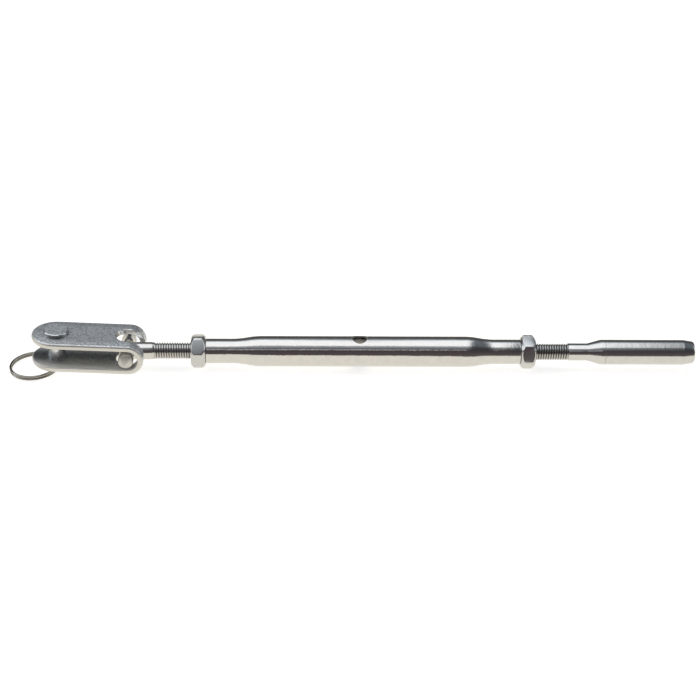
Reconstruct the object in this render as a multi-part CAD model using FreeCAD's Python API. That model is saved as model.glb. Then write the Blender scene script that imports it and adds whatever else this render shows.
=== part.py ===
import FreeCAD, Part
import math
import os

Vector = FreeCAD.Vector

# Closed body turnbuckle with a toggle jaw at one end and a swage stud at the other.
# Sizes are in millimetres and degrees.
# The origin is the centre of the barrel's cross hole, on the barrel's axis.
# +X runs along the axis to the swage end and +Z goes up along the cross hole.
# Lengths called "out" are counted from the middle of the barrel to either end.

# Rod and thread, the thread's crests as a plain cylinder
rod_diameter = 6.35
thread_diameter = 6.20
thread_fit = 0.06
thread_inside = 30.0
thread_lead = 0.6

# Barrel: a tube with both ends drawn down over the threads
barrel_length = 113.9
tube_diameter = 11.11
tube_wall = 1.35
end_wall = 1.34
end_length = 9.6
neck_length = 10.6
end_bevel = 0.25
hole_offset = 1.45
cross_hole_diameter = 5.6

# Lock nuts
nut_across_flats = 11.11
nut_thickness = 5.2
nut_seat_gap = 0.05
nut_bevel = 0.3
nut_face_drop = 0.4
nut_cone_angle = 45.0
toggle_nut_turn = 75.7
wire_nut_turn = 48.9

# Toggle bolt: a threaded rod forged into a cross head
toggle_thread_exposed = 13.06
relief_length = 1.1
relief_depth = 0.25
toggle_shank_length = 8.85
tee_diameter = 5.44
tee_length = 17.0
tee_bevel = 0.35
tee_root_round = 0.5

# Toggle strap: a strip folded round the cross head
strap_width = 17.4
strap_thickness = 2.0
strap_gap = 7.4
strap_edge_round = 0.4
strap_rim_round = 0.8
pin_reach = 25.95
slot_side_gap = 0.95
slot_lead = 0.2
tee_back = 0.6
tee_play = 0.38
toggle_tilt = 2.3

# Clevis pin
pin_diameter = 6.35
pin_fit = 0.08
pin_hole_bevel = 0.3
pin_head_diameter = 9.1
pin_head_height = 1.4
pin_head_round = 0.45
pin_head_gap = 0.05
pin_tail_below_ring = 1.65
pin_bevel = 0.4
pin_turn = 10.0

# Cotter ring: two flat turns of round wire
wire_diameter = 0.90
turn_gap = 0.04
ring_mean_diameter = 16.9
ring_play = 0.08
ring_gap = 0.33
ring_droop = 4.7
ring_start = 65.0
crank_angle = 30.0

# Swage stud: thread, shank, cone and a sleeve for the wire
wire_thread_exposed = 12.15
wire_shank_length = 7.05
cone_length = 4.76
sleeve_diameter = 9.12
sleeve_length = 34.3
scribe_place = 2.1
scribe_depth = 0.08
scribe_width = 0.25
mouth_taper_length = 3.2
mouth_taper_drop = 0.6
mouth_round = 0.7
wire_bore_diameter = 5.0
wire_bore_depth = 31.0
wire_bore_bevel = 0.3
drill_point_angle = 118.0

# Worked out from the sizes above
barrel_middle = hole_offset
barrel_half = barrel_length / 2
thread_radius = thread_diameter / 2
threaded_bore = thread_radius + thread_fit
rod_radius = rod_diameter / 2
tube_radius = tube_diameter / 2
nut_out = barrel_half + nut_seat_gap
toggle_thread_out = nut_out + nut_thickness + toggle_thread_exposed
wire_thread_out = nut_out + nut_thickness + wire_thread_exposed
tee_out = toggle_thread_out + relief_length + toggle_shank_length
tee_x = barrel_middle - tee_out
tee_lift = (strap_gap - tee_diameter) / 2 - tee_play
bend_outer = strap_gap / 2 + strap_thickness
turn_pitch = wire_diameter + turn_gap
ring_radius = ring_mean_diameter / 2
ring_sag = ring_radius - math.sqrt(ring_radius ** 2 - (pin_diameter / 2) ** 2)
ring_hole_radius = math.hypot(turn_pitch / 2, ring_sag / 2) + wire_diameter / 2 + ring_play
ring_hole_z = -(bend_outer + ring_gap + (turn_pitch + wire_diameter) / 2)
pin_end_z = ring_hole_z - pin_tail_below_ring


def wire_from(points):
    """Closed wire in the XZ plane. A point (x, z, (mx, mz)) is reached by an arc through (mx, mz)."""
    edges = []
    here = Vector(points[0][0], 0, points[0][1])
    for point in list(points[1:]) + [points[0][:2]]:
        there = Vector(point[0], 0, point[1])
        if len(point) == 3:
            middle = Vector(point[2][0], 0, point[2][1])
            edges.append(Part.Arc(here, middle, there).toShape())
        else:
            edges.append(Part.LineSegment(here, there).toShape())
        here = there
    return Part.Wire(edges)


def turned(points):
    """Solid turned about the X axis from an outline of (x, radius) points."""
    return Part.Face(wire_from(points)).revolve(Vector(0, 0, 0), Vector(1, 0, 0), 360)


def to_side(points, side):
    """Outline of "out" lengths placed on one side of the barrel: side is +1 or -1."""
    placed = []
    for point in points:
        x = barrel_middle + side * point[0]
        if len(point) == 3:
            placed.append((x, point[1], (barrel_middle + side * point[2][0], point[2][1])))
        else:
            placed.append((x, point[1]))
    return placed


def ogee(start, end):
    """Two equal arcs from start to end, level at both, as points for wire_from."""
    length = end[0] - start[0]
    rise = end[1] - start[1]
    middle = (start[0] + length / 2, start[1] + rise / 2)
    radius = (length ** 2 + rise ** 2) / (4 * abs(rise))
    half_turn = math.asin(abs(length) / 2 / radius) / 2
    across = math.copysign(radius * math.sin(half_turn), length)
    along = math.copysign(radius * (1 - math.cos(half_turn)), rise)
    first = (middle[0], middle[1], (start[0] + across, start[1] + along))
    second = (end[0], end[1], (end[0] - across, end[1] - along))
    return [first, second]


def quarter_round(start, corner, end):
    """Arc point from start to end round the inside of a square corner."""
    radius = abs(start[0] - corner[0]) + abs(start[1] - corner[1])
    centre = (start[0] + end[0] - corner[0], start[1] + end[1] - corner[1])
    slant = math.sqrt(0.5)
    across = math.copysign(radius * slant, corner[0] - centre[0])
    along = math.copysign(radius * slant, corner[1] - centre[1])
    return (end[0], end[1], (centre[0] + across, centre[1] + along))


def cylinder(radius, length, middle, axis):
    """Cylinder centred on a point."""
    axis = Vector(axis)
    return Part.makeCylinder(radius, length, Vector(middle) - axis * (length / 2), axis)


def stadium(x_start, x_end, half_width, height):
    """Prism along Z, centred on Z = 0: round at x_start's end, square at x_end."""
    edges = [
        Part.LineSegment(Vector(x_start, half_width, 0), Vector(x_end, half_width, 0)).toShape(),
        Part.LineSegment(Vector(x_end, half_width, 0), Vector(x_end, -half_width, 0)).toShape(),
        Part.LineSegment(Vector(x_end, -half_width, 0), Vector(x_start, -half_width, 0)).toShape(),
        Part.Arc(
            Vector(x_start, -half_width, 0),
            Vector(x_start - half_width, 0, 0),
            Vector(x_start, half_width, 0),
        ).toShape(),
    ]
    prism = Part.Face(Part.Wire(edges)).extrude(Vector(0, 0, height))
    prism.translate(Vector(0, 0, -height / 2))
    return prism


def square_edges(shape):
    """Edges where two faces meet at about a right angle."""
    found = []
    for edge in shape.Edges:
        point = edge.valueAt((edge.FirstParameter + edge.LastParameter) / 2)
        faces = shape.ancestorsOfType(edge, Part.Face)
        normals = [face.normalAt(*face.Surface.parameter(point)) for face in faces]
        if len(normals) == 2 and abs(normals[0].dot(normals[1])) < 0.5:
            found.append(edge)
    return found


def on_toggle(shape):
    """Places a shape from the strap's own frame, whose origin is the centre of the fold."""
    shape.translate(Vector(tee_back, 0, tee_lift))
    shape.rotate(Vector(0, 0, 0), Vector(0, 1, 0), toggle_tilt)
    shape.translate(Vector(tee_x, 0, 0))
    return shape


def on_pin(shape):
    """Places a shape from the clevis pin's own frame, whose origin is level with the fold."""
    shape.rotate(Vector(0, 0, 0), Vector(0, 0, 1), pin_turn)
    shape.translate(Vector(-pin_reach, 0, 0))
    return on_toggle(shape)


def make_barrel():
    end_radius = threaded_bore + end_wall
    tube_bore = tube_radius - tube_wall
    end = barrel_half
    neck = end - end_length
    body = neck - neck_length
    outside = [(-end, end_radius - end_bevel), (-end + end_bevel, end_radius), (-neck, end_radius)]
    outside += ogee((-neck, end_radius), (-body, tube_radius))
    outside += [(body, tube_radius)]
    outside += ogee((body, tube_radius), (neck, end_radius))
    outside += [(end - end_bevel, end_radius), (end, end_radius - end_bevel)]
    inside = [(end, threaded_bore + end_bevel), (end - end_bevel, threaded_bore), (neck, threaded_bore)]
    inside += ogee((neck, threaded_bore), (body, tube_bore))
    inside += [(-body, tube_bore)]
    inside += ogee((-body, tube_bore), (-neck, threaded_bore))
    inside += [(-end + end_bevel, threaded_bore), (-end, threaded_bore + end_bevel)]
    barrel = turned(to_side(outside + inside, 1))
    drill = cylinder(cross_hole_diameter / 2, 2 * tube_diameter, (0, 0, 0), (0, 0, 1))
    return barrel.cut(drill)


def make_lock_nut(side, turn):
    """Hexagon nut seated on one end of the barrel, with a corner at the angle turn above -Y."""
    inner = nut_out
    outer = nut_out + nut_thickness
    corner_radius = nut_across_flats / 2 / math.cos(math.radians(30))
    face_radius = nut_across_flats / 2 - nut_face_drop
    cone_depth = (corner_radius - face_radius) * math.tan(math.radians(nut_cone_angle))
    blank = turned(to_side([
        (inner, threaded_bore + nut_bevel),
        (inner, face_radius),
        (inner + cone_depth, corner_radius),
        (outer - cone_depth, corner_radius),
        (outer, face_radius),
        (outer, threaded_bore + nut_bevel),
        (outer - nut_bevel, threaded_bore),
        (inner + nut_bevel, threaded_bore),
    ], side))
    start = barrel_middle + side * inner
    corners = []
    for step in range(7):
        angle = math.radians(turn + 60 * step)
        corners.append(Vector(start, -corner_radius * math.cos(angle), corner_radius * math.sin(angle)))
    hexagon = Part.Face(Part.makePolygon(corners)).extrude(Vector(side * nut_thickness, 0, 0))
    return blank.common(hexagon)


def make_toggle_bolt():
    inner = barrel_half - thread_inside
    outline = [
        (inner, 0),
        (inner, thread_radius - thread_lead),
        (inner + thread_lead, thread_radius),
        (toggle_thread_out, thread_radius),
        (toggle_thread_out, rod_radius - relief_depth),
        (toggle_thread_out + relief_length, rod_radius),
        (tee_out, rod_radius),
        (tee_out + rod_radius, 0, (tee_out + rod_radius * math.sqrt(0.5), rod_radius * math.sqrt(0.5))),
    ]
    rod = turned(to_side(outline, -1))
    half = tee_length / 2
    tee_radius = tee_diameter / 2
    tee = turned([
        (-half, 0),
        (-half, tee_radius - tee_bevel),
        (-half + tee_bevel, tee_radius),
        (half - tee_bevel, tee_radius),
        (half, tee_radius - tee_bevel),
        (half, 0),
    ])
    tee.rotate(Vector(0, 0, 0), Vector(0, 0, 1), 90)
    tee.translate(Vector(tee_x, 0, 0))
    bolt = rod.fuse(tee).removeSplitter().Solids[0]
    root = []
    for edge in bolt.Edges:
        surfaces = [face.Surface for face in bolt.ancestorsOfType(edge, Part.Face)]
        radii = sorted(round(surface.Radius, 3) for surface in surfaces if hasattr(surface, "Radius"))
        if radii == sorted([round(tee_radius, 3), round(rod_radius, 3)]):
            root.append(edge)
    return bolt.makeFillet(tee_root_round, root)


def outer_rim(shape, slot_half):
    """Edges round the strap's outline on its outer side, without those of the slot."""
    found = []
    for edge in square_edges(shape):
        point = edge.valueAt((edge.FirstParameter + edge.LastParameter) / 2)
        from_fold = math.hypot(max(point.x, 0), point.z)
        in_slot = abs(point.y) < slot_half + 0.01 and point.x > -pin_reach / 2
        if abs(from_fold - bend_outer) < 0.01 and not in_slot:
            found.append(edge)
    return found


def make_toggle_strap():
    inner = strap_gap / 2
    outer = bend_outer
    length = pin_reach + strap_width
    profile = [
        (-length, outer),
        (0, outer),
        (0, -outer, (outer, 0)),
        (-length, -outer),
        (-length, -inner),
        (0, -inner),
        (0, inner, (inner, 0)),
        (-length, inner),
    ]
    folded = Part.Face(wire_from(profile)).extrude(Vector(0, 2 * strap_width, 0))
    folded.translate(Vector(0, -strap_width, 0))
    strap = folded.common(stadium(-pin_reach, 2 * outer, strap_width / 2, 4 * outer))
    slot_half = rod_radius + slot_side_gap
    strap = strap.cut(stadium(slot_lead - tee_back, 2 * outer, slot_half, 4 * outer))
    strap = strap.makeFillet(strap_rim_round, outer_rim(strap, slot_half))
    strap = strap.makeFillet(strap_edge_round, square_edges(strap))
    hole_radius = pin_diameter / 2 + pin_fit
    strap = strap.cut(cylinder(hole_radius, 4 * outer, (-pin_reach, 0, 0), (0, 0, 1)))
    rims = [edge for edge in strap.Edges
            if hasattr(edge.Curve, "Radius") and abs(edge.Curve.Radius - hole_radius) < 0.001]
    return on_toggle(strap.makeChamfer(pin_hole_bevel, rims))


def make_clevis_pin():
    head_low = bend_outer + pin_head_gap
    head_top = head_low + pin_head_height
    head_radius = pin_head_diameter / 2
    radius = pin_diameter / 2
    rim_start = (head_top, head_radius - pin_head_round)
    rim_end = (head_top - pin_head_round, head_radius)
    pin = turned([
        (head_top, 0),
        rim_start,
        quarter_round(rim_start, (head_top, head_radius), rim_end),
        (head_low, head_radius),
        (head_low, radius),
        (pin_end_z + pin_bevel, radius),
        (pin_end_z, radius - pin_bevel),
        (pin_end_z, 0),
    ])
    pin.rotate(Vector(0, 0, 0), Vector(0, 1, 0), -90)
    hole = cylinder(ring_hole_radius, 2 * pin_diameter, (0, 0, ring_hole_z), (0, 1, 0))
    return on_pin(pin.cut(hole))


def ring_point(angle, height):
    """Point on the ring wire's centre line, in the ring's own frame."""
    angle = math.radians(angle)
    return Vector(ring_radius * math.cos(angle), ring_radius * math.sin(angle), height)


def ring_turn(start, sweep, height):
    """One turn of the ring's centre line, as an arc."""
    middle = ring_point(start + sweep / 2, height)
    return Part.Arc(ring_point(start, height), middle, ring_point(start + sweep, height)).toShape()


def ring_crank(start, low, high):
    """The short length of wire that climbs from the lower turn to the upper one."""
    steps = 12
    points = []
    for step in range(steps + 1):
        part = step / steps
        climb = 3 * part ** 2 - 2 * part ** 3
        points.append(ring_point(start + crank_angle * part, low + (high - low) * climb))
    curve = Part.BSplineCurve()
    first = ring_point(start + 90, 0).normalize()
    last = ring_point(start + crank_angle + 90, 0).normalize()
    curve.interpolate(Points=points, InitialTangent=first, FinalTangent=last)
    return curve.toShape()


def make_cotter_ring():
    low = -turn_pitch / 2
    high = turn_pitch / 2
    sweep = 360 - crank_angle
    crank_start = ring_start + sweep
    path = Part.Wire([
        ring_turn(ring_start, sweep, low),
        ring_crank(crank_start, low, high),
        ring_turn(crank_start + crank_angle, sweep, high),
    ])
    along = ring_point(ring_start + 90, 0)
    section = Part.Wire(Part.makeCircle(wire_diameter / 2, ring_point(ring_start, low), along))
    ring = path.makePipeShell([section], True, False)
    ring.translate(Vector(ring_sag / 2 - ring_radius, 0, 0))
    ring.rotate(Vector(0, 0, 0), Vector(0, 1, 0), -ring_droop)
    ring.translate(Vector(0, 0, ring_hole_z))
    print("cotter ring", "wire length", round(path.Length, 3), "volume", round(ring.Volume, 3),
          "expected", round(path.Length * math.pi * wire_diameter ** 2 / 4, 3))
    return on_pin(ring)


def make_swage_stud():
    inner = barrel_half - thread_inside
    shank_end = wire_thread_out + wire_shank_length
    sleeve_start = shank_end + cone_length
    scribe = sleeve_start + scribe_place
    mouth = sleeve_start + sleeve_length
    taper_end = mouth - mouth_round
    taper_start = taper_end - mouth_taper_length
    sleeve_radius = sleeve_diameter / 2
    mouth_radius = sleeve_radius - mouth_taper_drop
    bore_radius = wire_bore_diameter / 2
    bore_end = mouth - wire_bore_depth
    point_depth = bore_radius / math.tan(math.radians(drill_point_angle / 2))
    rim_start = (taper_end, mouth_radius)
    rim_end = (mouth, mouth_radius - mouth_round)
    return turned(to_side([
        (inner, 0),
        (inner, thread_radius - thread_lead),
        (inner + thread_lead, thread_radius),
        (wire_thread_out, thread_radius),
        (wire_thread_out, rod_radius),
        (shank_end, rod_radius),
        (sleeve_start, sleeve_radius),
        (scribe - scribe_width / 2, sleeve_radius),
        (scribe, sleeve_radius - scribe_depth),
        (scribe + scribe_width / 2, sleeve_radius),
        (taper_start, sleeve_radius),
        rim_start,
        quarter_round(rim_start, (mouth, mouth_radius), rim_end),
        (mouth, bore_radius + wire_bore_bevel),
        (mouth - wire_bore_bevel, bore_radius),
        (bore_end, bore_radius),
        (bore_end - point_depth, 0),
    ], 1))


def show_point(name, point, direction):
    """Prints a joint's or mount's point and direction once it is placed."""
    print(name, "point", [round(value, 4) for value in point], "along", [round(value, 6) for value in direction])


def show_joints():
    """Prints where each moving piece turns."""
    pin_line = on_pin(Part.makeLine(Vector(0, 0, 0), Vector(0, 0, 1)))
    ring_line = on_pin(Part.makeLine(Vector(0, 0, ring_hole_z), Vector(0, 1, ring_hole_z)))
    show_point("toggle pivot", Vector(tee_x, 0, 0), Vector(0, 1, 0))
    for name, line in (("clevis pin", pin_line), ("ring hole", ring_line)):
        start = line.valueAt(line.FirstParameter)
        show_point(name, start, line.valueAt(line.LastParameter) - start)
    nut_faces = nut_out + nut_thickness
    show_point("toggle nut", Vector(barrel_middle - nut_faces, 0, 0), Vector(-1, 0, 0))
    show_point("wire nut", Vector(barrel_middle + nut_faces, 0, 0), Vector(1, 0, 0))
    mouth = wire_thread_out + wire_shank_length + cone_length + sleeve_length
    show_point("wire mouth", Vector(barrel_middle + mouth, 0, 0), Vector(1, 0, 0))


os.makedirs("parts", exist_ok=True)
pieces = {
    "barrel": make_barrel(),
    "toggle_lock_nut": make_lock_nut(-1, toggle_nut_turn),
    "wire_lock_nut": make_lock_nut(1, wire_nut_turn),
    "toggle_bolt": make_toggle_bolt(),
    "toggle_strap": make_toggle_strap(),
    "clevis_pin": make_clevis_pin(),
    "cotter_ring": make_cotter_ring(),
    "swage_stud": make_swage_stud(),
}
for name, shape in pieces.items():
    shape.exportStep("parts/" + name + ".step")
    print(name, len(shape.Solids), "solid", round(shape.Volume, 2), "mm3", "valid", shape.isValid())
show_joints()
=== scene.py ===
import math

import bmesh
import bpy
from mathutils import Matrix, Vector


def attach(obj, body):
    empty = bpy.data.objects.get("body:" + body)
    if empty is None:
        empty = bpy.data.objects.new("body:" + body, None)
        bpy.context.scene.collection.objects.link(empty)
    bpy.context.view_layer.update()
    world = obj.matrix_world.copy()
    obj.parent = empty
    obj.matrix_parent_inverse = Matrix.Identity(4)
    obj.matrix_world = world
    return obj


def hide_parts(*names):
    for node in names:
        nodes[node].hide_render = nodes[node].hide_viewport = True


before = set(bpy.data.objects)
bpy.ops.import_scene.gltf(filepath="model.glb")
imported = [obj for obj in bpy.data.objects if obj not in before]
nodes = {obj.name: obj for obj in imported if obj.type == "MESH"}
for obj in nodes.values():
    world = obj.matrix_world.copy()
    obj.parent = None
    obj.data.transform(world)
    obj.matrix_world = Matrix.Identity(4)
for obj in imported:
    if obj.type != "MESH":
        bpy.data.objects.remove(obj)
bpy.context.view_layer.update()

# Closed body turnbuckle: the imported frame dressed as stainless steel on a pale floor.
# Pieces are modelled in millimetres and brought to metres when they are finished.

metre = 0.001
fullTurn = 2 * math.pi
finished = []


# Mesh helpers

# merge is how close points join and snap how close a cut takes a point, in millimetres. A rounding over
# longArc gets longSegments.
meshing =dict(merge=0.0005, snap=0.0001, longArc=1.0, longSegments=14, shortSegments=5, breakSegments=2)


# Wire in the XZ plane from (x, radius, rounding) points, each corner rounded by its rounding
def outlineWire(bm, points, closed):
    verts = [bm.verts.new((x, 0, radius)) for x, radius, rounding in points]
    ends = verts[1:] + verts[:1] if closed else verts[1:]
    for here, there in zip(verts, ends):
        bm.edges.new((here, there))
    for vert, (x, radius, rounding) in zip(verts, points):
        if rounding:
            arc = "longSegments" if rounding > meshing["longArc"] else "shortSegments"
            bmesh.ops.bevel(bm, geom=[vert], offset=rounding, offset_type="OFFSET", segments=meshing[arc],
                            profile=0.5, affect="VERTICES", material=-1, clamp_overlap=False)


# Solid turned about the X axis
def spunMesh(points, steps, closed=True):
    bm = bmesh.new()
    outlineWire(bm, points, closed)
    bmesh.ops.spin(bm, geom=bm.verts[:] + bm.edges[:], cent=(0, 0, 0), axis=(1, 0, 0),
                   angle=fullTurn, steps=steps, use_merge=True)
    bmesh.ops.remove_doubles(bm, verts=bm.verts, dist=meshing["merge"])
    bmesh.ops.recalc_face_normals(bm, faces=bm.faces)
    return bm


def newObject(name, bm):
    mesh = bpy.data.meshes.new(name)
    bm.to_mesh(mesh)
    bm.free()
    piece = bpy.data.objects.new(name, mesh)
    bpy.context.scene.collection.objects.link(piece)
    return piece


# Adds the faces of another bmesh
def joinMeshes(bm, other):
    spare = bpy.data.meshes.new("spare")
    other.to_mesh(spare)
    other.free()
    bm.from_mesh(spare)
    bpy.data.meshes.remove(spare)


# Puts what the modifiers make into the mesh
def bakeModifiers(piece):
    graph = bpy.context.evaluated_depsgraph_get()
    graph.update()
    made = bpy.data.meshes.new_from_object(piece.evaluated_get(graph))
    piece.modifiers.clear()
    piece.data = made


# Boolean of a piece with a tool object, which is then thrown away
def combine(piece, tool, operation):
    step = piece.modifiers.new("combine", "BOOLEAN")
    step.operation = operation
    step.solver = "EXACT"
    step.object = tool
    bakeModifiers(piece)
    bpy.data.objects.remove(tool)


# Breaks the edges that are sharper than an angle in degrees
def softenEdges(piece, width, angle):
    step = piece.modifiers.new("edge break", "BEVEL")
    step.width = width
    step.segments = meshing["breakSegments"]
    step.profile = 0.5
    step.limit_method = "ANGLE"
    step.angle_limit = math.radians(angle)
    step.harden_normals = False
    bakeModifiers(piece)


# Brings a piece to metres and hangs it on the frame; edges over sharp degrees are shaded hard
def finishPiece(piece, body, material, standsFor, sharp):
    mesh = piece.data
    mesh.transform(Matrix.Scale(metre, 4))
    mesh.materials.clear()
    mesh.materials.append(material)
    for polygon in mesh.polygons:
        polygon.use_smooth = True
    mesh.set_sharp_from_angle(angle=math.radians(sharp))
    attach(piece, body)
    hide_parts(standsFor)
    finished.append(piece.name)
    print("finished", piece.name, len(mesh.polygons), "faces")


# Shader helpers

def addNode(tree, kind, at, settings=None, values=None):
    node = tree.nodes.new(kind)
    node.location = at
    for name, value in (settings or {}).items():
        setattr(node, name, value)
    for name, value in (values or {}).items():
        node.inputs[name].default_value = value
    return node


def addMath(tree, at, operation, values=None):
    return addNode(tree, "ShaderNodeMath", at, {"operation": operation}, values)


def addGroup(tree, at, group, values=None):
    return addNode(tree, "ShaderNodeGroup", at, {"node_tree": group}, values)


# Eased step: low up to start, high from end on
def addStep(tree, at, low, high, start=0.0, end=1.0):
    return addNode(tree, "ShaderNodeMapRange", at, {"interpolation_type": "SMOOTHSTEP"},
                   {"From Min": start, "From Max": end, "To Min": low, "To Max": high})


def addRamp(tree, at, stops):
    node = addNode(tree, "ShaderNodeValToRGB", at)
    ramp = node.color_ramp
    while len(ramp.elements) < len(stops):
        ramp.elements.new(1.0)
    for element, (place, colour) in zip(ramp.elements, stops):
        element.position = place
        element.color = (*colour, 1)
    return node


def newMaterial(name):
    material = bpy.data.materials.new(name)
    material.use_nodes = True
    material.node_tree.nodes.clear()
    return material, material.node_tree


def newGroup(name, inputs, outputs):
    tree = bpy.data.node_groups.new(name, "ShaderNodeTree")
    for title, kind, value in inputs:
        socket = tree.interface.new_socket(title, in_out="INPUT", socket_type=kind)
        if value is not None:
            socket.default_value = value
    for title, kind in outputs:
        tree.interface.new_socket(title, in_out="OUTPUT", socket_type=kind)
    start = addNode(tree, "NodeGroupInput", (-900, 0))
    end = addNode(tree, "NodeGroupOutput", (700, 0))
    return tree, start, end


# Uneven polish: soft clouds and a fine grain, the same on every steel piece but with its own values
def makePolishGroup():
    tree, start, end = newGroup(
        "uneven polish",
        [("Place", "NodeSocketVector", None), ("Cloud Scale", "NodeSocketFloat", 150.0),
         ("Grain Scale", "NodeSocketFloat", 3000.0), ("Grain Share", "NodeSocketFloat", 0.5),
         ("Spread", "NodeSocketFloat", 0.2)],
        [("Tone", "NodeSocketFloat"), ("Height", "NodeSocketFloat")],
    )
    link = tree.links.new
    clouds = addNode(tree, "ShaderNodeTexNoise", (-600, 200), values={"Detail": 3.0, "Roughness": 0.55})
    grain = addNode(tree, "ShaderNodeTexNoise", (-600, -100), values={"Detail": 2.0, "Roughness": 0.6})
    mixed = addNode(tree, "ShaderNodeMix", (-200, 0), {"data_type": "FLOAT"})
    link(start.outputs["Place"], clouds.inputs["Vector"])
    link(start.outputs["Place"], grain.inputs["Vector"])
    link(start.outputs["Cloud Scale"], clouds.inputs["Scale"])
    link(start.outputs["Grain Scale"], grain.inputs["Scale"])
    link(start.outputs["Grain Share"], mixed.inputs["Factor"])
    link(clouds.outputs["Fac"], mixed.inputs["A"])
    link(grain.outputs["Fac"], mixed.inputs["B"])
    low = addMath(tree, (-200, 350), "SUBTRACT", {0: 0.5})
    high = addMath(tree, (-200, 500), "ADD", {0: 0.5})
    tone = addNode(tree, "ShaderNodeMapRange", (100, 200), values={"To Min": 0.0, "To Max": 1.0})
    link(start.outputs["Spread"], low.inputs[1])
    link(start.outputs["Spread"], high.inputs[1])
    link(low.outputs["Value"], tone.inputs["From Min"])
    link(high.outputs["Value"], tone.inputs["From Max"])
    link(mixed.outputs["Result"], tone.inputs["Value"])
    link(tone.outputs["Result"], end.inputs["Tone"])
    link(mixed.outputs["Result"], end.inputs["Height"])
    return tree


# Tool tracks: the fine lines that turning or drawing leaves, across the stretched axis of Place
def makeTrackGroup():
    tree, start, end = newGroup(
        "tool tracks",
        [("Place", "NodeSocketVector", None), ("Scale", "NodeSocketFloat", 1.0)],
        [("Height", "NodeSocketFloat")],
    )
    link = tree.links.new
    lines = addNode(tree, "ShaderNodeTexNoise", (-600, 100), values={"Detail": 4.0, "Roughness": 0.65})
    link(start.outputs["Place"], lines.inputs["Vector"])
    link(start.outputs["Scale"], lines.inputs["Scale"])
    link(lines.outputs["Fac"], end.inputs["Height"])
    return tree


# Deep places: 1 nearer the X axis than Inner, 0 further than Outer, between two planes across the axis
def makeDepthGroup():
    tree, start, end = newGroup(
        "deep places",
        [("Place", "NodeSocketVector", None), ("Inner", "NodeSocketFloat", 0.0026),
         ("Outer", "NodeSocketFloat", 0.003), ("From X", "NodeSocketFloat", -1.0),
         ("To X", "NodeSocketFloat", 1.0)],
        [("Deep", "NodeSocketFloat")],
    )
    link = tree.links.new
    split = addNode(tree, "ShaderNodeSeparateXYZ", (-700, 0))
    across = addNode(tree, "ShaderNodeCombineXYZ", (-500, 100))
    radius = addNode(tree, "ShaderNodeVectorMath", (-300, 100), {"operation": "LENGTH"})
    depth = addStep(tree, (-100, 100), 1.0, 0.0)
    after = addMath(tree, (-300, -150), "GREATER_THAN")
    before = addMath(tree, (-300, -350), "LESS_THAN")
    between = addMath(tree, (-100, -250), "MULTIPLY")
    deep = addMath(tree, (200, 0), "MULTIPLY")
    link(start.outputs["Place"], split.inputs["Vector"])
    link(split.outputs["Y"], across.inputs["Y"])
    link(split.outputs["Z"], across.inputs["Z"])
    link(across.outputs["Vector"], radius.inputs[0])
    link(radius.outputs["Value"], depth.inputs["Value"])
    link(start.outputs["Inner"], depth.inputs["From Min"])
    link(start.outputs["Outer"], depth.inputs["From Max"])
    link(split.outputs["X"], after.inputs[0])
    link(start.outputs["From X"], after.inputs[1])
    link(split.outputs["X"], before.inputs[0])
    link(start.outputs["To X"], before.inputs[1])
    link(after.outputs["Value"], between.inputs[0])
    link(before.outputs["Value"], between.inputs[1])
    link(between.outputs["Value"], deep.inputs[0])
    link(depth.outputs["Result"], deep.inputs[1])
    link(deep.outputs["Value"], end.inputs["Deep"])
    return tree


# Between the plates, in the strap's own frame: 1 nearer its middle plane than Gap, inside the fold. It
# marks where the strap gets painted shade, and painted light towards its sides.
def makePlatesGroup():
    tree, start, end = newGroup(
        "between the plates",
        [("Place", "NodeSocketVector", None), ("Gap", "NodeSocketFloat", 0.0037),
         ("Fade", "NodeSocketFloat", 0.00005)],
        [("Inside", "NodeSocketFloat")],
    )
    link = tree.links.new
    split = addNode(tree, "ShaderNodeSeparateXYZ", (-700, 0))
    past = addMath(tree, (-500, 100), "MAXIMUM", {1: 0.0})
    across = addNode(tree, "ShaderNodeCombineXYZ", (-300, 100))
    reach = addNode(tree, "ShaderNodeVectorMath", (-100, 100), {"operation": "LENGTH"})
    outer = addMath(tree, (-300, -150), "ADD")
    inside = addNode(tree, "ShaderNodeMapRange", (200, 0), values={"To Min": 1.0, "To Max": 0.0})
    link(start.outputs["Place"], split.inputs["Vector"])
    link(split.outputs["X"], past.inputs[0])
    link(past.outputs["Value"], across.inputs["X"])
    link(split.outputs["Z"], across.inputs["Z"])
    link(across.outputs["Vector"], reach.inputs[0])
    link(start.outputs["Gap"], outer.inputs[0])
    link(start.outputs["Fade"], outer.inputs[1])
    link(reach.outputs["Value"], inside.inputs["Value"])
    link(start.outputs["Gap"], inside.inputs["From Min"])
    link(outer.outputs["Value"], inside.inputs["From Max"])
    link(inside.outputs["Result"], end.inputs["Inside"])
    return tree


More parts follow.
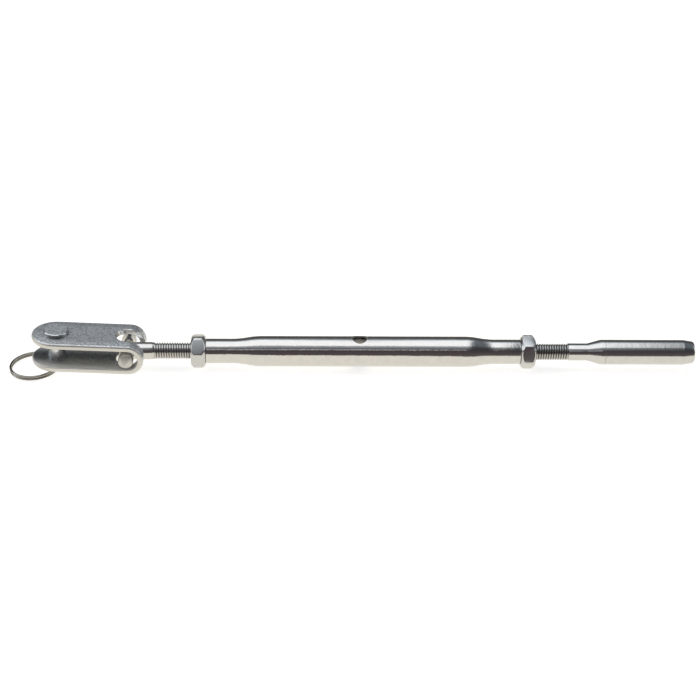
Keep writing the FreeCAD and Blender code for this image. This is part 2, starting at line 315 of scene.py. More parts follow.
# Rolled edge, in the strap's own frame: Edge rises from 0 at From to 1 at To, measured from the line that
# runs along the strap's middle as far as Reach, and Height falls as much
def makeRolledGroup():
    tree, start, end = newGroup(
        "rolled edge",
        [("Place", "NodeSocketVector", None), ("Reach", "NodeSocketFloat", 0.026),
         ("From", "NodeSocketFloat", 0.005), ("To", "NodeSocketFloat", 0.0087)],
        [("Edge", "NodeSocketFloat"), ("Height", "NodeSocketFloat")],
    )
    link = tree.links.new
    split = addNode(tree, "ShaderNodeSeparateXYZ", (-700, 0))
    beyondPin = addMath(tree, (-500, 150), "ADD")
    past = addMath(tree, (-400, 150), "MINIMUM", {1: 0.0})
    across = addNode(tree, "ShaderNodeCombineXYZ", (-300, 100))
    reach = addNode(tree, "ShaderNodeVectorMath", (-100, 100), {"operation": "LENGTH"})
    edge = addStep(tree, (200, 100), 0.0, 1.0)
    height = addMath(tree, (400, -100), "SUBTRACT", {0: 1.0})
    link(start.outputs["Place"], split.inputs["Vector"])
    link(split.outputs["X"], beyondPin.inputs[0])
    link(start.outputs["Reach"], beyondPin.inputs[1])
    link(beyondPin.outputs["Value"], past.inputs[0])
    link(past.outputs["Value"], across.inputs["X"])
    link(split.outputs["Y"], across.inputs["Y"])
    link(across.outputs["Vector"], reach.inputs[0])
    link(reach.outputs["Value"], edge.inputs["Value"])
    link(start.outputs["From"], edge.inputs["From Min"])
    link(start.outputs["To"], edge.inputs["From Max"])
    link(edge.outputs["Result"], height.inputs[1])
    link(edge.outputs["Result"], end.inputs["Edge"])
    link(height.outputs["Value"], end.inputs["Height"])
    return tree


polishGroup = makePolishGroup()
trackGroup = makeTrackGroup()
depthGroup = makeDepthGroup()
platesGroup = makePlatesGroup()
rolledGroup = makeRolledGroup()

# The strap's own frame stands in the middle of its fold. The pin's has X along the pin, with the head
# between low and high.
strapFrame = dict(middle=(-83.136, 0.0, 0.575), turn=2.3)
pinHead = dict(middle=(-109.0655, 0.0, 1.6169), turn=-87.7, low=5.0, high=8.0)

# Depths are in millimetres and scales count features to the metre. light and smooth go with the brightest
# tone of the polish, dark and rough with the darkest. Parts with a shade or a colour of their own: turned
# are those near an axis, ends the end faces of the cross head, inside the room between the strap's plates,
# darkened there as painted shade, insideLight their faces towards the long sides, lightened again as
# painted light, slot the fold's middle, lightened as a painted highlight on the slot's rim, and sides the
# strap's outline. rolled is how far that outline drops. Where turned holds painted shade or light, it is
# noted at the entry.
finishes = {
    "polished tube steel": dict(
        light=(0.74, 0.73, 0.72), dark=(0.68, 0.675, 0.67), smooth=0.06, rough=0.12,
        cloudScale=420.0, grainScale=1800.0, grainShare=0.35, spread=0.2, polishDepth=0.055,
        trackStretch=(60.0, 1100.0, 1100.0), trackDepth=0.006,
        turned=[dict(inner=4.28, outer=4.5, low=-60.0, high=60.0, shade=0.8, rough=0.5),
                # The drilled wall of the cross hole: rougher, and lightened as painted light.
                dict(turn=-90.0, inner=2.83, outer=2.87, low=4.3, high=6.0, shade=1.2, rough=0.6)]),
    "satin nut steel": dict(
        light=(0.69, 0.695, 0.70), dark=(0.61, 0.62, 0.63), smooth=0.16, rough=0.23,
        cloudScale=500.0, grainScale=2600.0, grainShare=0.5, spread=0.2, polishDepth=0.02,
        trackStretch=(500.0, 900.0, 900.0), trackDepth=0.002),
    "polished bolt steel": dict(
        light=(0.73, 0.72, 0.71), dark=(0.65, 0.645, 0.64), smooth=0.10, rough=0.18,
        cloudScale=500.0, grainScale=2600.0, grainShare=0.5, spread=0.2, polishDepth=0.03,
        trackStretch=(2500.0, 60.0, 60.0), trackDepth=0.002,
        # Painted shade: the thread's grooves are darkened and roughened.
        turned=[dict(inner=2.62, outer=3.06, low=-74.6, high=-20.0, shade=0.42, rough=0.4)],
        ends=dict(out=8.3, shade=1.05, rough=0.5)),
    "tumbled strap steel": dict(
        light=(0.97, 0.985, 1.0), dark=(0.50, 0.525, 0.555), smooth=0.42, rough=0.56,
        cloudScale=500.0, grainScale=1250.0, grainShare=0.78, spread=0.085, polishDepth=0.12,
        trackStretch=(400.0, 400.0, 400.0), trackDepth=0.004,
        # Painted shade: the faces in the room between the strap's plates are darkened, and made smoother.
        inside=dict(gap=3.72, shade=0.31, rough=0.32),
        # Painted light: the faces between the plates turn lighter and rougher towards the strap's long
        # sides.
        insideLight=dict(reach=60.0, start=0.5, end=8.2, light=(0.96, 0.96, 0.94), rough=0.8),
        # Smoother rim of the slot, lightened there as a painted highlight on that rim.
        slot=dict(reach=0.4, start=4.3, end=4.55, light=(0.97, 0.97, 0.95), rough=0.24),
        sides=dict(reach=25.95, start=8.2, end=8.45, light=(0.80, 0.795, 0.78), rough=0.45),
        rolled=dict(reach=25.95, start=5.0, end=8.7, drop=0.22)),
    "tumbled pin steel": dict(
        light=(0.84, 0.87, 0.90), dark=(0.50, 0.52, 0.545), smooth=0.14, rough=0.22,
        cloudScale=500.0, grainScale=1500.0, grainShare=0.7, spread=0.12, polishDepth=0.05,
        trackStretch=(400.0, 400.0, 2500.0), trackDepth=0.002,
        # Painted shade and painted highlight on the pin's head: its side darkened, its rounded rim
        # lightened most, and its top a little lighter and rougher.
        turned=[dict(inner=10.0, outer=11.0, shade=0.5, rough=0.18, **pinHead),
                dict(inner=4.42, outer=4.52, shade=2.6, rough=0.15, **pinHead),
                dict(inner=3.95, outer=4.2, shade=0.88, rough=0.5, **pinHead)]),
    # Painted shade: the ring's steel is kept darker than the other pieces, for the shade it lies in near
    # the floor.
    "drawn ring steel": dict(
        light=(0.50, 0.49, 0.465), dark=(0.34, 0.33, 0.31), smooth=0.04, rough=0.08,
        cloudScale=400.0, grainScale=4000.0, grainShare=0.5, spread=0.2, polishDepth=0.004,
        trackStretch=(900.0, 900.0, 5000.0), trackDepth=0.001),
    "polished stud steel": dict(
        light=(0.73, 0.725, 0.72), dark=(0.65, 0.65, 0.65), smooth=0.08, rough=0.15,
        cloudScale=420.0, grainScale=2200.0, grainShare=0.3, spread=0.2, polishDepth=0.03,
        trackStretch=(2600.0, 40.0, 40.0), trackDepth=0.003,
        # Painted shade: the thread's grooves are darkened and roughened.
        turned=[dict(inner=2.62, outer=3.06, low=20.0, high=75.7, shade=0.42, rough=0.4),
                # Painted shade: a dark line in the scribed groove.
                dict(inner=10.0, outer=11.0, low=89.11, high=89.23, shade=0.45, rough=0.5)]),
}


def makeSteel(name):
    look = finishes[name]
    material, tree = newMaterial(name)
    link = tree.links.new
    place = addNode(tree, "ShaderNodeTexCoord", (-1200, 0))
    stretched = addNode(tree, "ShaderNodeMapping", (-1000, -200), values={"Scale": look["trackStretch"]})
    polish = addGroup(tree, (-700, 100), polishGroup,
                      {"Cloud Scale": look["cloudScale"], "Grain Scale": look["grainScale"],
                       "Grain Share": look["grainShare"], "Spread": look["spread"]})
    tracks = addGroup(tree, (-700, -200), trackGroup)
    colour = addNode(tree, "ShaderNodeMix", (-300, 200), {"data_type": "RGBA"},
                     {"A": (*look["dark"], 1), "B": (*look["light"], 1)})
    roughness = addNode(tree, "ShaderNodeMapRange", (-300, 0),
                        values={"To Min": look["rough"], "To Max": look["smooth"]})
    fine = addNode(tree, "ShaderNodeBump", (-300, -400),
                   values={"Strength": 1.0, "Distance": look["trackDepth"] * metre})
    broad = addNode(tree, "ShaderNodeBump", (-100, -300),
                    values={"Strength": 1.0, "Distance": look["polishDepth"] * metre})
    shader = addNode(tree, "ShaderNodeBsdfPrincipled", (100, 100), values={"Metallic": 1.0})
    output = addNode(tree, "ShaderNodeOutputMaterial", (400, 100))
    link(place.outputs["Object"], polish.inputs["Place"])
    link(place.outputs["Object"], stretched.inputs["Vector"])
    link(stretched.outputs["Vector"], tracks.inputs["Place"])
    link(polish.outputs["Tone"], colour.inputs["Factor"])
    link(polish.outputs["Tone"], roughness.inputs["Value"])
    link(tracks.outputs["Height"], fine.inputs["Height"])
    link(polish.outputs["Height"], broad.inputs["Height"])
    link(fine.outputs["Normal"], broad.inputs["Normal"])
    colours, roughnesses = colour.outputs["Result"], roughness.outputs["Result"]
    normals = broad.outputs["Normal"]

    # A part of the piece with its own shade or colour and its own roughness, by a mask. Several of these
    # parts are painted shade or painted light.
    def overlay(mask, part, at):
        nonlocal colours, roughnesses
        plain = "light" in part
        shade = addNode(tree, "ShaderNodeMix", (at, 350),
                        {"data_type": "RGBA", "blend_type": "MIX" if plain else "MULTIPLY"},
                        {"B": (*part["light"], 1) if plain else (part["shade"],) * 3 + (1,)})
        dull = addNode(tree, "ShaderNodeMix", (at, 50), {"data_type": "FLOAT"}, {"B": part["rough"]})
        link(mask, shade.inputs["Factor"])
        link(colours, shade.inputs["A"])
        link(mask, dull.inputs["Factor"])
        link(roughnesses, dull.inputs["A"])
        colours, roughnesses = shade.outputs["Result"], dull.outputs["Result"]

    # Place in a frame of its own: middle in millimetres, turned about Y in degrees
    def ownPlace(at, middle=(0, 0, 0), turn=0):
        own = addNode(tree, "ShaderNodeMapping", (-1000, at), {"vector_type": "TEXTURE"},
                      {"Location": tuple(metre * value for value in middle),
                       "Rotation": (0.0, math.radians(turn), 0.0)})
        link(place.outputs["Object"], own.inputs["Vector"])
        return own.outputs["Vector"]

    for count, part in enumerate(look.get("turned", [])):
        near = addGroup(tree, (-700, 400 + 200 * count), depthGroup,
                        {"Inner": part["inner"] * metre, "Outer": part["outer"] * metre,
                         "From X": part["low"] * metre, "To X": part["high"] * metre})
        own = ownPlace(400 + 200 * count, part.get("middle", (0, 0, 0)), part.get("turn", 0))
        link(own, near.inputs["Place"])
        overlay(near.outputs["Deep"], part, -100 + 150 * count)
    if "ends" in look:
        across = addNode(tree, "ShaderNodeSeparateXYZ", (-1000, 800))
        out = addMath(tree, (-850, 800), "ABSOLUTE")
        ends = addMath(tree, (-700, 800), "GREATER_THAN", {1: look["ends"]["out"] * metre})
        link(place.outputs["Object"], across.inputs["Vector"])
        link(across.outputs["Y"], out.inputs[0])
        link(out.outputs["Value"], ends.inputs[0])
        overlay(ends.outputs["Value"], look["ends"], 200)
    if "rolled" in look:
        fold = ownPlace(1000, **strapFrame)

        def outlineMask(part, at):
            rolled = addGroup(tree, (-700, at), rolledGroup,
                              {"Reach": part["reach"] * metre, "From": part["start"] * metre,
                               "To": part["end"] * metre})
            link(fold, rolled.inputs["Place"])
            return rolled

        plates = addGroup(tree, (-700, 1000), platesGroup, {"Gap": look["inside"]["gap"] * metre})
        link(fold, plates.inputs["Place"])
        # painted shade between the plates
        overlay(plates.outputs["Inside"], look["inside"], 200)
        # painted light on the faces between the plates, growing towards the long sides
        insideLightMask = outlineMask(look["insideLight"], 1200)
        insideLightShare = addMath(tree, (-450, 1200), "MULTIPLY")
        link(plates.outputs["Inside"], insideLightShare.inputs[0])
        link(insideLightMask.outputs["Edge"], insideLightShare.inputs[1])
        overlay(insideLightShare.outputs["Value"], look["insideLight"], 275)
        # painted highlight, with a smoother finish, on the slot's rim
        overlay(outlineMask(look["slot"], 1300).outputs["Height"], look["slot"], 310)
        overlay(outlineMask(look["sides"], 1400).outputs["Edge"], look["sides"], 350)
        crown = addNode(tree, "ShaderNodeBump", (50, -300),
                        values={"Strength": 1.0, "Distance": look["rolled"]["drop"] * metre})
        edges = outlineMask(look["rolled"], 1600)
        link(edges.outputs["Height"], crown.inputs["Height"])
        link(normals, crown.inputs["Normal"])
        normals = crown.outputs["Normal"]
    link(colours, shader.inputs["Base Color"])
    link(roughnesses, shader.inputs["Roughness"])
    link(normals, shader.inputs["Normal"])
    link(shader.outputs["BSDF"], output.inputs["Surface"])
    return material


steels = {name: makeSteel(name) for name in finishes}
print("materials made", len(steels))


# Thread: 28 turns to the inch. It is made lead turns early and cut to length, with spareTurns in all.
thread = dict(pitch=25.4 / 28, crest=3.12, root=2.56, crestFlat=0.2, flankAngle=30.0, rounding=0.04,
              stepsPerTurn=48, lead=1.5, spareTurns=2, merge=0.001, rimReach=0.01)


# Closed rod along X with a thread cut all along it
def threadedRod(start, end, rightHanded):
    t = thread
    pitch, steps = t["pitch"], t["stepsPerTurn"]
    turns = math.ceil((end - start) / pitch) + t["spareTurns"]
    flank = (t["crest"] - t["root"]) * math.tan(math.radians(t["flankAngle"]))
    crestHalf = t["crestFlat"] * pitch / 2
    middle = pitch / 2
    outline = [
        (0, t["root"]), (middle - crestHalf - flank, t["root"]), (middle - crestHalf, t["crest"]),
        (middle + crestHalf, t["crest"]), (middle + crestHalf + flank, t["root"]), (pitch, t["root"]),
    ]
    bm = bmesh.new()
    verts = [bm.verts.new((start - t["lead"] * pitch + x, 0, radius)) for x, radius in outline]
    for here, there in zip(verts, verts[1:]):
        bm.edges.new((here, there))
    crestCorners = verts[2:4]
    bmesh.ops.bevel(bm, geom=crestCorners, offset=t["rounding"], offset_type="OFFSET", segments=2,
                    profile=0.5, affect="VERTICES", material=-1)
    bmesh.ops.spin(bm, geom=bm.verts[:] + bm.edges[:], cent=(0, 0, 0),
                   axis=(1 if rightHanded else -1, 0, 0), dvec=(pitch / steps, 0, 0),
                   angle=fullTurn, steps=steps)
    made = 1
    while made < turns:  # each copy doubles the length
        copied = bmesh.ops.duplicate(bm, geom=bm.verts[:] + bm.edges[:] + bm.faces[:])["geom"]
        moved = [part for part in copied if isinstance(part, bmesh.types.BMVert)]
        bmesh.ops.translate(bm, verts=moved, vec=(made * pitch, 0, 0))
        made *= 2
    bmesh.ops.remove_doubles(bm, verts=bm.verts, dist=t["merge"])
    for plane, outer in ((start, False), (end, True)):
        bmesh.ops.bisect_plane(bm, geom=bm.verts[:] + bm.edges[:] + bm.faces[:], dist=meshing["snap"],
                               plane_co=(plane, 0, 0), plane_no=(1, 0, 0),
                               clear_outer=outer, clear_inner=not outer)
        rim = [edge for edge in bm.edges
               if edge.is_boundary and abs(edge.verts[0].co.x - plane) < t["rimReach"]]
        bmesh.ops.holes_fill(bm, edges=rim, sides=0)
    bmesh.ops.recalc_face_normals(bm, faces=bm.faces)
    return bm


# Barrel: tube with both ends drawn down, and the cross hole

barrel = dict(
    middle=1.45, half=56.95, tube=5.555, tubeBore=4.205, end=4.50, endBore=3.16, endLength=9.6,
    neckLength=10.6, neckShare=0.9999, rim=0.28, boreRim=0.224, steps=192, holeRadius=2.8,
    holeDepth=30.0, holeSegments=96, holeBreak=0.12, breakAngle=40, sharp=20)


# How far the two arcs of a neck reach along their tangents, so that they meet halfway
def neckRounding(length, rise):
    slope = math.atan2(rise / 2, length / 2)
    return math.hypot(length / 2, rise / 2) / 2 / math.cos(slope)


def makeBarrel():
    b = barrel
    neck = b["half"] - b["endLength"]
    body = neck - b["neckLength"]
    outer = neckRounding(b["neckLength"], b["tube"] - b["end"])
    inner = neckRounding(b["neckLength"], b["tubeBore"] - b["endBore"])
    outerArc, innerArc = outer * b["neckShare"], inner * b["neckShare"]  # a little gap where arcs meet
    half = [
        (body + outer, b["tube"], outerArc),
        (neck - outer, b["end"], outerArc),
        (b["half"], b["end"], b["rim"]),
        (b["half"], b["endBore"], b["boreRim"]),
        (neck - inner, b["endBore"], innerArc),
        (body + inner, b["tubeBore"], innerArc),
    ]
    points = half + [(-x, radius, rounding) for x, radius, rounding in reversed(half)]
    points = [(b["middle"] + x, radius, rounding) for x, radius, rounding in points]
    piece = newObject("barrelTube", spunMesh(points, b["steps"]))
    drill = bmesh.new()
    bmesh.ops.create_cone(drill, cap_ends=True, segments=b["holeSegments"], radius1=b["holeRadius"],
                          radius2=b["holeRadius"], depth=b["holeDepth"])
    combine(piece, newObject("drill", drill), "DIFFERENCE")
    softenEdges(piece, b["holeBreak"], b["breakAngle"])
    finishPiece(piece, "barrel", steels["polished tube steel"], "barrel", b["sharp"])


# Lock nuts: a hexagon cut to its chamfers and its bore by a spun blank

lockNuts = {
    "toggleLockNut": dict(node="toggle_lock_nut", body="toggle_nut", side=-1, turn=75.7),
    "wireLockNut": dict(node="wire_lock_nut", body="wire_nut", side=1, turn=47.5),
}
nutShape = dict(seat=57.0, thickness=5.2, spare=4.0, acrossFlats=11.11, faceDrop=0.4, coneAngle=45.0,
                bore=3.16, boreBevel=0.3, cornerRound=0.5, cornerSegments=4, steps=144,
                edgeBreak=0.16, breakAngle=24, sharp=16)


def makeLockNut(name):
    nut, n = lockNuts[name], nutShape
    corner = n["acrossFlats"] / 2 / math.cos(math.radians(30))
    face = n["acrossFlats"] / 2 - n["faceDrop"]
    cone = (corner - face) * math.tan(math.radians(n["coneAngle"]))
    low, high = n["seat"], n["seat"] + n["thickness"]
    points = [(low, n["bore"] + n["boreBevel"], 0), (low, face, 0), (low + cone, corner, 0),
              (high - cone, corner, 0), (high, face, 0), (high, n["bore"] + n["boreBevel"], 0),
              (high - n["boreBevel"], n["bore"], 0), (low + n["boreBevel"], n["bore"], 0)]
    points = [(barrel["middle"] + nut["side"] * x, radius, rounding) for x, radius, rounding in points]
    blank = newObject("blank", spunMesh(points, n["steps"]))
    bm = bmesh.new()
    bmesh.ops.create_cone(bm, cap_ends=True, segments=6, radius1=corner, radius2=corner,
                          depth=n["thickness"] + n["spare"])
    bmesh.ops.rotate(bm, verts=bm.verts, cent=(0, 0, 0), matrix=Matrix.Rotation(fullTurn / 4, 3, "Y"))
    bm.verts.ensure_lookup_table()
    first = bm.verts[0].co
    offTurn = math.atan2(first.z, -first.y) - math.radians(nut["turn"])
    bmesh.ops.rotate(bm, verts=bm.verts, cent=(0, 0, 0), matrix=Matrix.Rotation(offTurn, 3, "X"))
    lengthwise = [edge for edge in bm.edges
                  if abs(edge.verts[0].co.x - edge.verts[1].co.x) > n["thickness"]]
    bmesh.ops.bevel(bm, geom=lengthwise, offset=n["cornerRound"], offset_type="OFFSET",
                    segments=n["cornerSegments"], profile=0.5, affect="EDGES", material=-1)
    middle = barrel["middle"] + nut["side"] * (low + high) / 2
    bmesh.ops.translate(bm, verts=bm.verts, vec=(middle, 0, 0))
    piece = newObject(name, bm)
    combine(piece, blank, "INTERSECT")
    softenEdges(piece, n["edgeBreak"], n["breakAngle"])
    finishPiece(piece, nut["body"], steels["satin nut steel"], nut["node"], n["sharp"])


# Swage stud: left-handed thread, shank, cone and the sleeve that takes the wire

stud = dict(
    inner=28.4, threadEnd=75.8, threadOverlap=0.4, shank=3.175, shankRound=0.12, shankEnd=82.85,
    sleeveStart=87.61, sleeve=4.56, coneRound=0.15, scribe=89.17, scribeWidth=0.12, scribeDepth=0.042,
    taperStart=118.01, taper=0.6, taperRound=0.2, mouth=121.91, mouthRound=0.7,
    bore=2.5, boreEnd=90.91, boreBevel=0.3, drillAngle=59.0, steps=160, sharp=26)


def makeSwageStud():
    s = stud
    mouthRadius = s["sleeve"] - s["taper"]
    drillPoint = s["bore"] / math.tan(math.radians(s["drillAngle"]))
    points = [
        (s["threadEnd"], 0, 0),
        (s["threadEnd"], s["shank"], s["shankRound"]),
        (s["shankEnd"], s["shank"], s["coneRound"]),
        (s["sleeveStart"], s["sleeve"], s["coneRound"]),
        (s["scribe"] - s["scribeWidth"] / 2, s["sleeve"], 0),
        (s["scribe"], s["sleeve"] - s["scribeDepth"], 0),
        (s["scribe"] + s["scribeWidth"] / 2, s["sleeve"], 0),
        (s["taperStart"], s["sleeve"], s["taperRound"]),
        (s["mouth"], mouthRadius, s["mouthRound"]),
        (s["mouth"], s["bore"], s["boreBevel"]),
        (s["boreEnd"], s["bore"], 0),
        (s["boreEnd"] - drillPoint, 0, 0),
    ]
    bm = spunMesh(points, s["steps"], closed=False)
    joinMeshes(bm, threadedRod(s["inner"], s["threadEnd"] + s["threadOverlap"], rightHanded=False))
    piece = newObject("swageStud", bm)
    finishPiece(piece, "swage_stud", steels["polished stud steel"], "swage_stud", s["sharp"])


# Toggle bolt: the frame's own shank and forged cross head, with a right-handed thread in place of its rod

bolt = dict(inner=-25.5, threadEnd=-73.81, runOut=0.9, overlap=0.02, sharp=26)


def makeToggleBolt():
    b = bolt
    bm = bmesh.new()
    bm.from_mesh(nodes["toggle_bolt"].data)
    bmesh.ops.scale(bm, verts=bm.verts, vec=(1 / metre,) * 3)
    bmesh.ops.remove_doubles(bm, verts=bm.verts, dist=meshing["merge"])
    bmesh.ops.bisect_plane(bm, geom=bm.verts[:] + bm.edges[:] + bm.faces[:], dist=meshing["snap"],
                           plane_co=(b["threadEnd"] - b["overlap"], 0, 0), plane_no=(1, 0, 0),
                           clear_outer=True)
    bmesh.ops.holes_fill(bm, edges=[edge for edge in bm.edges if edge.is_boundary], sides=0)
    bmesh.ops.recalc_face_normals(bm, faces=bm.faces)
    joinMeshes(bm, threadedRod(b["threadEnd"] - b["runOut"], b["inner"], rightHanded=True))
    piece = newObject("toggleBolt", bm)
    finishPiece(piece, "toggle_bolt", steels["polished bolt steel"], "toggle_bolt",
                b["sharp"])


makeBarrel()
for nutName in lockNuts:
    makeLockNut(nutName)
makeSwageStud()
makeToggleBolt()

# The strap, the pin and the ring keep the frame's meshes
frameSteels = {
    "toggle_strap": "tumbled strap steel",
    "clevis_pin": "tumbled pin steel",
    "cotter_ring": "drawn ring steel",
}
for nodeName, steelName in frameSteels.items():
    mesh = nodes[nodeName].data
    mesh.materials.clear()
    mesh.materials.append(steels[steelName])
print("pieces made", finished, "dressed", list(frameSteels))


# Floor: white to the camera, darker away from the object in reflections, and it keeps the soft shadow.
# level is in millimetres. Reflected, it is light until lightUntil and dark after darkAfter, as shares of
# the way to a front edge through the points (x, y) frontFrom and frontTo, in metres.

floorLook = dict(
    level=-7.15, size=6.0, white=0.72, catch=0.9, reflected=(0.95, 0.91, 0.81),
    frontFrom=(-0.02, -0.30), frontTo=(0.05, -0.055), lightUntil=0.45, darkAfter=1.7, darkShare=0.08)


def makeFloor():
    look = floorLook
    bm = bmesh.new()
    bmesh.ops.create_grid(bm, x_segments=1, y_segments=1, size=look["size"] / metre / 2)
    bmesh.ops.translate(bm, verts=bm.verts, vec=(0, 0, look["level"]))
    floor = newObject("floor", bm)
    floor.data.transform(Matrix.Scale(metre, 4))
    material, tree = newMaterial("pale floor")
    link = tree.links.new
    ray = addNode(tree, "ShaderNodeLightPath", (-700, 300))
    mirrored = addMath(tree, (-450, 200), "MAXIMUM")
    paint = addNode(tree, "ShaderNodeBsdfDiffuse", (-450, -100),
                    values={"Color": (look["catch"],) * 3 + (1,)})
    white = addNode(tree, "ShaderNodeEmission", (-450, -250), values={"Strength": look["white"]})
    seen = addNode(tree, "ShaderNodeAddShader", (-200, -150))
    glow = addNode(tree, "ShaderNodeEmission", (-450, -400), values={"Color": (*look["reflected"], 1)})
    place = addNode(tree, "ShaderNodeTexCoord", (-1100, -500))
    split = addNode(tree, "ShaderNodeSeparateXYZ", (-900, -500))
    front = addNode(tree, "ShaderNodeMapRange", (-700, -700),
                    values={"From Min": look["frontFrom"][0], "From Max": look["frontTo"][0],
                            "To Min": look["frontFrom"][1], "To Max": look["frontTo"][1]})
    distance = addMath(tree, (-500, -700), "DIVIDE")
    nearness = addStep(tree, (-500, -500), 1.0, look["darkShare"], look["lightUntil"], look["darkAfter"])
    link(place.outputs["Object"], split.inputs["Vector"])
    link(split.outputs["X"], front.inputs["Value"])
    link(split.outputs["Y"], distance.inputs[0])
    link(front.outputs["Result"], distance.inputs[1])
    link(distance.outputs["Value"], nearness.inputs["Value"])
    link(nearness.outputs["Result"], glow.inputs["Strength"])
    toCamera = addNode(tree, "ShaderNodeMixShader", (0, 0))
    toMetal = addNode(tree, "ShaderNodeMixShader", (200, 0))
    output = addNode(tree, "ShaderNodeOutputMaterial", (400, 0))
    link(ray.outputs["Is Glossy Ray"], mirrored.inputs[0])
    link(ray.outputs["Is Transmission Ray"], mirrored.inputs[1])
    link(paint.outputs["BSDF"], seen.inputs[0])
    link(white.outputs["Emission"], seen.inputs[1])
    link(ray.outputs["Is Camera Ray"], toCamera.inputs["Fac"])
    link(paint.outputs["BSDF"], toCamera.inputs[1])
    link(seen.outputs["Shader"], toCamera.inputs[2])
    link(mirrored.outputs["Value"], toMetal.inputs["Fac"])
    link(toCamera.outputs["Shader"], toMetal.inputs[1])
    link(glow.outputs["Emission"], toMetal.inputs[2])
    link(toMetal.outputs["Shader"], output.inputs["Surface"])
    floor.data.materials.append(material)


# Studio: what stands round the object. bands, beyond and slit list colours by height, from the camera's
# horizon at 0 over the top at 0.5 to the far horizon at 1. slit is a thin light that ends on the right
# between slitStart and slitEnd. beyond takes the place of bands from edgeStart to the right up to sideEnd.

studioLook = dict(
    bands=[
        (0.00, (0.115, 0.095, 0.095)), (0.03, (0.075, 0.060, 0.064)), (0.205, (0.062, 0.048, 0.053)),
        (0.235, (0.065, 0.058, 0.062)), (0.248, (0.09, 0.095, 0.10)),
        (0.30, (0.15, 0.16, 0.165)), (0.335, (0.26, 0.275, 0.29)), (0.385, (0.34, 0.36, 0.375)),
        (0.40, (0.93, 0.93, 0.94)), (0.43, (1.0, 1.0, 1.0)), (0.66, (0.95, 0.98, 1.0)),
        (0.70, (0.46, 0.49, 0.52)), (0.76, (0.14, 0.15, 0.16)),
        (0.79, (0.075, 0.078, 0.082)), (1.0, (0.07, 0.073, 0.078))],
    beyond=[
        (0.00, (0.10, 0.085, 0.085)), (0.15, (0.05, 0.042, 0.045)), (0.33, (0.04, 0.042, 0.046)),
        (0.45, (0.10, 0.115, 0.13)), (0.65, (0.12, 0.14, 0.155)), (0.80, (0.07, 0.073, 0.08)),
        (1.0, (0.07, 0.073, 0.078))],
    slit=[
        (0.213, (0, 0, 0)), (0.222, (0.50, 0.50, 0.52)), (0.233, (0.50, 0.50, 0.52)), (0.243, (0, 0, 0))],
    strength=1.28, edgeStart=0.165, edgeEnd=0.30, sideStart=0.62, sideEnd=0.70,
    slitStart=0.095, slitEnd=0.13)


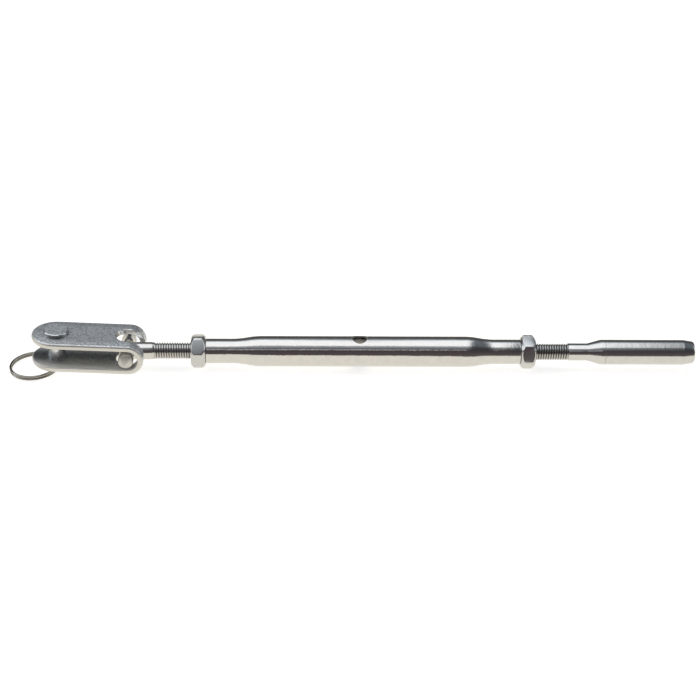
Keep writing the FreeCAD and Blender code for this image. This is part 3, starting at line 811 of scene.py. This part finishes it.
def makeStudio():
    look = studioLook
    world = bpy.data.worlds.new("studio")
    bpy.context.scene.world = world
    world.use_nodes = True
    tree = world.node_tree
    tree.nodes.clear()
    link = tree.links.new
    way = addNode(tree, "ShaderNodeTexCoord", (-1200, 0))
    split = addNode(tree, "ShaderNodeSeparateXYZ", (-1000, 0))
    towards = addMath(tree, (-800, -100), "MULTIPLY", {1: -1.0})
    height = addMath(tree, (-600, 0), "ARCTAN2")
    share = addMath(tree, (-400, 0), "DIVIDE", {1: math.pi})
    bands = addRamp(tree, (-200, 200), look["bands"])
    beyond = addRamp(tree, (-200, -100), look["beyond"])
    edge = addStep(tree, (-400, -300), 0.0, 1.0, look["edgeStart"], look["edgeEnd"])
    side = addStep(tree, (-400, -550), 1.0, 0.0, look["sideStart"], look["sideEnd"])
    corner = addMath(tree, (-150, -400), "MULTIPLY")
    around = addNode(tree, "ShaderNodeMix", (150, 100), {"data_type": "RGBA"})
    slit = addRamp(tree, (-200, 450), look["slit"])
    slitEdge = addStep(tree, (-400, 700), 1.0, 0.0, look["slitStart"], look["slitEnd"])
    withSlit = addNode(tree, "ShaderNodeMix", (50, 300), {"data_type": "RGBA", "blend_type": "ADD"})
    ray = addNode(tree, "ShaderNodeLightPath", (150, 400))
    lit = addNode(tree, "ShaderNodeBackground", (400, 100), values={"Strength": look["strength"]})
    white = addNode(tree, "ShaderNodeBackground", (400, -100),
                    values={"Color": (1, 1, 1, 1), "Strength": 1.0})
    mixed = addNode(tree, "ShaderNodeMixShader", (650, 100))
    output = addNode(tree, "ShaderNodeOutputWorld", (850, 100))
    link(way.outputs["Generated"], split.inputs["Vector"])
    link(split.outputs["Y"], towards.inputs[0])
    link(split.outputs["Z"], height.inputs[0])
    link(towards.outputs["Value"], height.inputs[1])
    link(height.outputs["Value"], share.inputs[0])
    link(share.outputs["Value"], bands.inputs["Fac"])
    link(share.outputs["Value"], beyond.inputs["Fac"])
    link(split.outputs["X"], edge.inputs["Value"])
    link(split.outputs["X"], side.inputs["Value"])
    link(edge.outputs["Result"], corner.inputs[0])
    link(side.outputs["Result"], corner.inputs[1])
    link(corner.outputs["Value"], around.inputs["Factor"])
    link(share.outputs["Value"], slit.inputs["Fac"])
    link(split.outputs["X"], slitEdge.inputs["Value"])
    link(slitEdge.outputs["Result"], withSlit.inputs["Factor"])
    link(bands.outputs["Color"], withSlit.inputs["A"])
    link(slit.outputs["Color"], withSlit.inputs["B"])
    link(withSlit.outputs["Result"], around.inputs["A"])
    link(beyond.outputs["Color"], around.inputs["B"])
    link(around.outputs["Result"], lit.inputs["Color"])
    link(ray.outputs["Is Camera Ray"], mixed.inputs["Fac"])
    link(lit.outputs["Background"], mixed.inputs[1])
    link(white.outputs["Background"], mixed.inputs[2])
    link(mixed.outputs["Shader"], output.inputs["Surface"])


# Camera, fitted to the photograph: it looks down on the object from a little to its left.
# aim and distance are in millimetres, angles in degrees, nearest and furthest in metres.

camera = dict(aim=(-3.417, 0.0, 0.515), distance=582.94, below=30.36, turn=2.155, roll=1.266,
              lens=82.77, sensor=36.0, nearest=0.01, furthest=20.0)


def makeCamera():
    turn, below, roll = (math.radians(camera[key]) for key in ("turn", "below", "roll"))
    ahead = Vector((math.sin(turn) * math.cos(below), math.cos(turn) * math.cos(below), -math.sin(below)))
    level = Vector((math.cos(turn), -math.sin(turn), 0))
    upright = level.cross(ahead)
    right = level * math.cos(roll) + upright * math.sin(roll)
    up = upright * math.cos(roll) - level * math.sin(roll)
    data = bpy.data.cameras.new("photo camera")
    data.sensor_width = camera["sensor"]
    data.lens = camera["lens"]
    data.clip_start = camera["nearest"]
    data.clip_end = camera["furthest"]
    holder = bpy.data.objects.new("photo camera", data)
    bpy.context.scene.collection.objects.link(holder)
    place = (Vector(camera["aim"]) - ahead * camera["distance"]) * metre
    turned = Matrix((right, up, -ahead)).transposed().to_4x4()
    holder.matrix_world = Matrix.Translation(place) @ turned
    bpy.context.scene.camera = holder


makeFloor()
makeStudio()
makeCamera()
bpy.context.scene.view_settings.view_transform = "Standard"
print("floor, studio and camera made")
